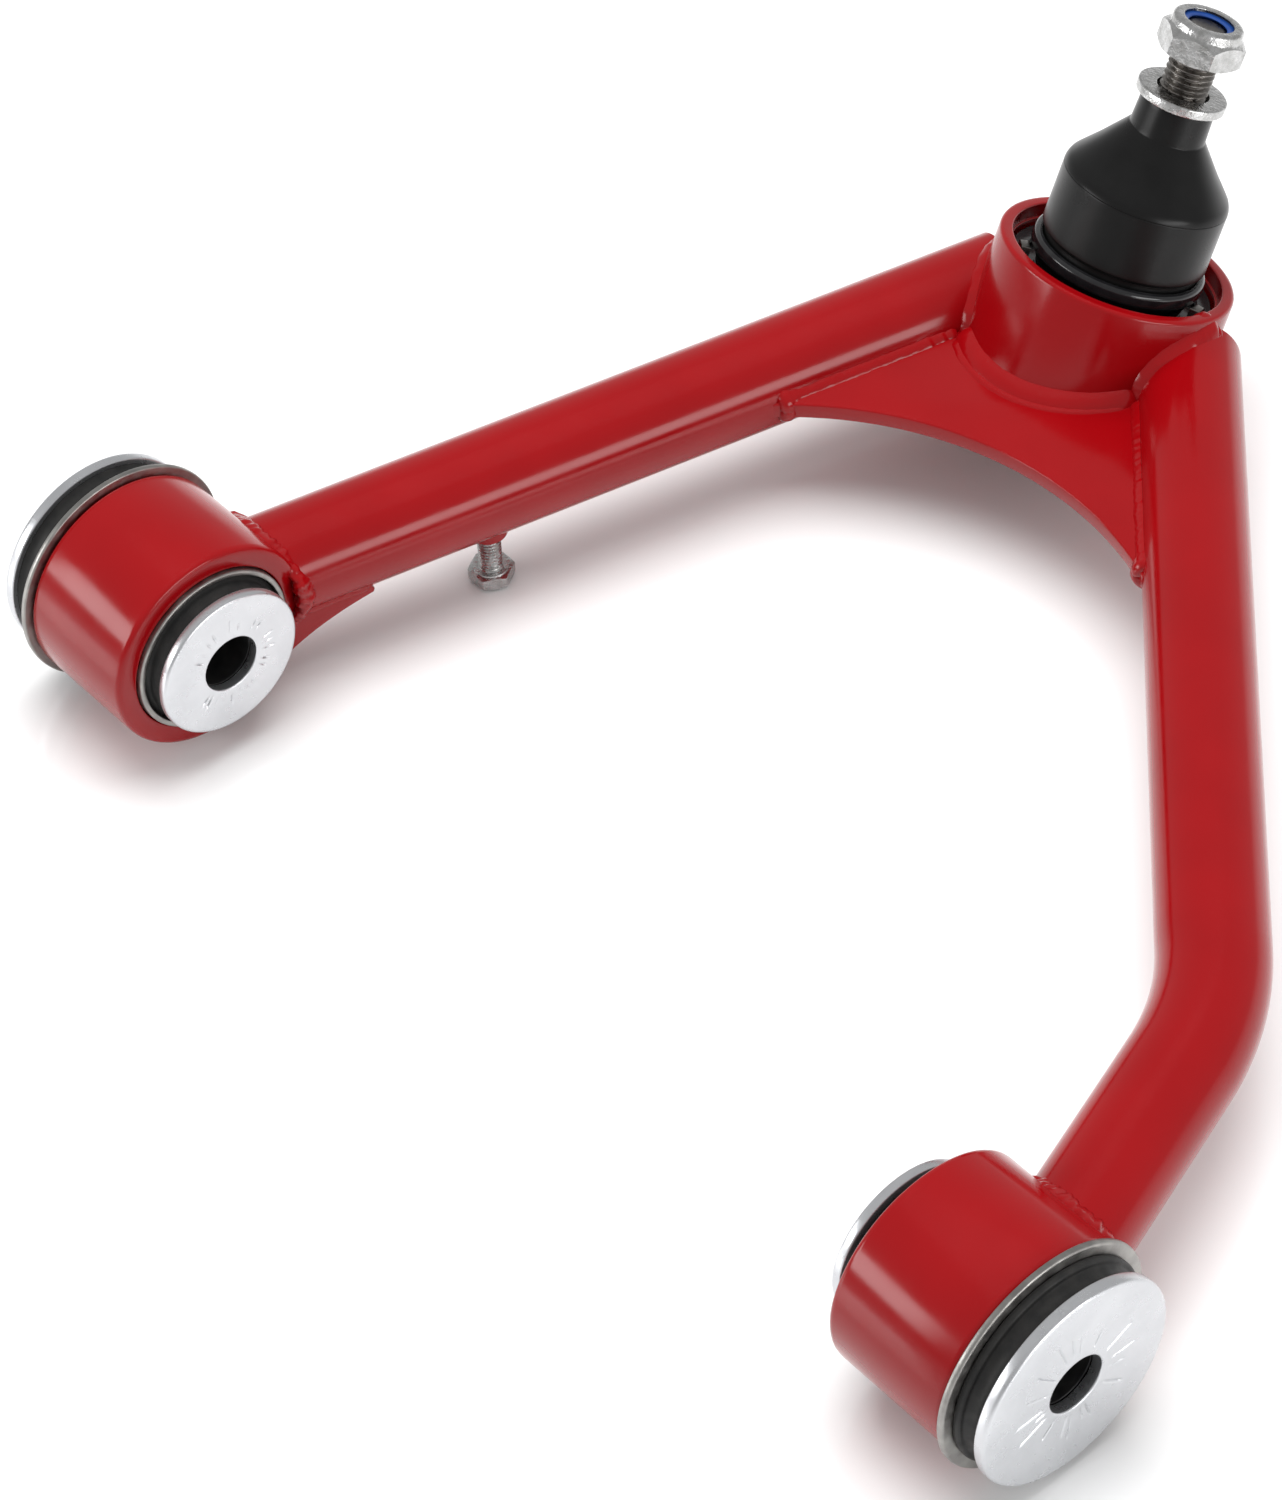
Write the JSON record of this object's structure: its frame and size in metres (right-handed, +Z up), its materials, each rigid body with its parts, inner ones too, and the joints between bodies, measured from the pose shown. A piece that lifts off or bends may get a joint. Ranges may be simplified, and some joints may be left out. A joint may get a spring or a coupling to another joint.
{
  "type": "suspension control arm",
  "caption": "Tubular A-shaped control arm with two flanged rubber pivot bushings, a gusset plate and a tilted ball joint with boot, washer and lock nut.",
  "frame": {"origin": "bottom centre of the arm's bounding box, on the plane the bushing flanges and the ball joint ring stand on", "axes": "+Z up, square to the plane of the two legs; +X from the pivot axis towards the ball joint; +Y along the pivot axis, towards the straight leg"},
  "size_m": [0.2923, 0.3284, 0.1071],
  "materials": {
    "red_paint": "gloss red powder coat, orange-peel clear surface",
    "zinc": "bright zinc plating",
    "raw_steel": "dull uncoated steel",
    "dark_steel": "dark oiled steel",
    "black_steel": "black e-coated steel",
    "rubber": "satin black moulded rubber",
    "boot_rubber": "smooth satin black rubber",
    "blue_nylon": "blue nylon",
    "white_liner": "off-white acetal"
  },
  "bodies": {
    "arm": {"straight_leg_tube": "red_paint", "bent_leg_tube": "red_paint", "ball_joint_ring": "red_paint", "gusset_plate": "red_paint", "straight_leg_eye": "red_paint", "bent_leg_eye": "red_paint", "straight_leg_eye_brace": "red_paint", "line_bracket_boss": "red_paint", "straight_leg_bushing_shell": "raw_steel", "bent_leg_bushing_shell": "raw_steel", "straight_leg_bushing_rubber": "rubber", "bent_leg_bushing_rubber": "rubber", "ball_joint_body": "black_steel", "ball_joint_bottom_cover": "black_steel", "ball_joint_snap_ring": "black_steel", "boot_clamp_ring": "black_steel", "dust_boot": "boot_rubber"},
    "straight_leg_sleeve": {"straight_leg_inner_sleeve": "raw_steel", "straight_leg_small_washer": "zinc", "straight_leg_large_washer": "zinc"},
    "bent_leg_sleeve": {"bent_leg_inner_sleeve": "raw_steel", "bent_leg_small_washer": "zinc", "bent_leg_large_washer": "zinc"},
    "socket_liner": {"ball_socket_liner": "white_liner"},
    "boot_neck": {"boot_neck_ring": "dark_steel"},
    "stud": {"ball_stud": "dark_steel", "stud_washer": "zinc"},
    "nut_insert": {"nylon_insert": "blue_nylon"},
    "nut": {"lock_nut": "zinc"},
    "bracket_bolt": {"line_bracket_bolt": "zinc"}
  },
  "joints": [
    {"name": "bent_leg_bushing_twist", "type": "hinge", "parent": "arm", "child": "bent_leg_sleeve", "pos_m": [-0.11785, -0.136, 0.0282], "axis": [0, 1, 0], "range_deg": [-30, 30], "stiffness_Nm_per_rad": 5},
    {"name": "straight_leg_bushing_twist", "type": "hinge", "parent": "arm", "child": "straight_leg_sleeve", "pos_m": [-0.11785, 0.136, 0.0282], "axis": [0, 1, 0], "range_deg": [-30, 30], "stiffness_Nm_per_rad": 5},
    {"name": "ball_joint_tilt_outboard", "type": "hinge", "parent": "arm", "child": "socket_liner", "pos_m": [0.10515, 0.05806, 0.03059], "axis": [0, 0.9995, 0.0314], "range_deg": [-15, 15], "deforming": ["dust_boot"]},
    {"name": "ball_joint_tilt_sideways", "type": "hinge", "parent": "socket_liner", "child": "boot_neck", "pos_m": [0.10515, 0.05806, 0.03059], "axis": [0.9136, 0.0128, -0.4064], "range_deg": [-15, 15]},
    {"name": "ball_stud_spin", "type": "hinge", "parent": "boot_neck", "child": "stud", "pos_m": [0.10515, 0.05806, 0.03059], "axis": [0.4066, -0.0287, 0.9132], "continuous": true},
    {"name": "lock_nut_travel", "type": "slide", "parent": "stud", "child": "nut_insert", "axis": [0.4066, -0.0287, 0.9132], "range_m": [-0.009, 0.0068], "deforming": ["nylon_insert"]},
    {"name": "lock_nut_turn", "type": "hinge", "parent": "nut_insert", "child": "nut", "pos_m": [0.13604, 0.05588, 0.09999], "axis": [0.4066, -0.0287, 0.9132], "range_deg": [-2130, 1620]},
    {"name": "line_bracket_bolt_travel", "type": "slide", "parent": "arm", "child": "bracket_bolt", "axis": [0, 0, 1], "range_m": [-0.0098, 0.0104]}
  ],
  "couplings": [
    {"joint": "straight_leg_bushing_twist", "follows": "bent_leg_bushing_twist", "ratio": 1},
    {"joint": "lock_nut_travel", "follows": "lock_nut_turn", "m_per_rad": 0.00023873}
  ]
}
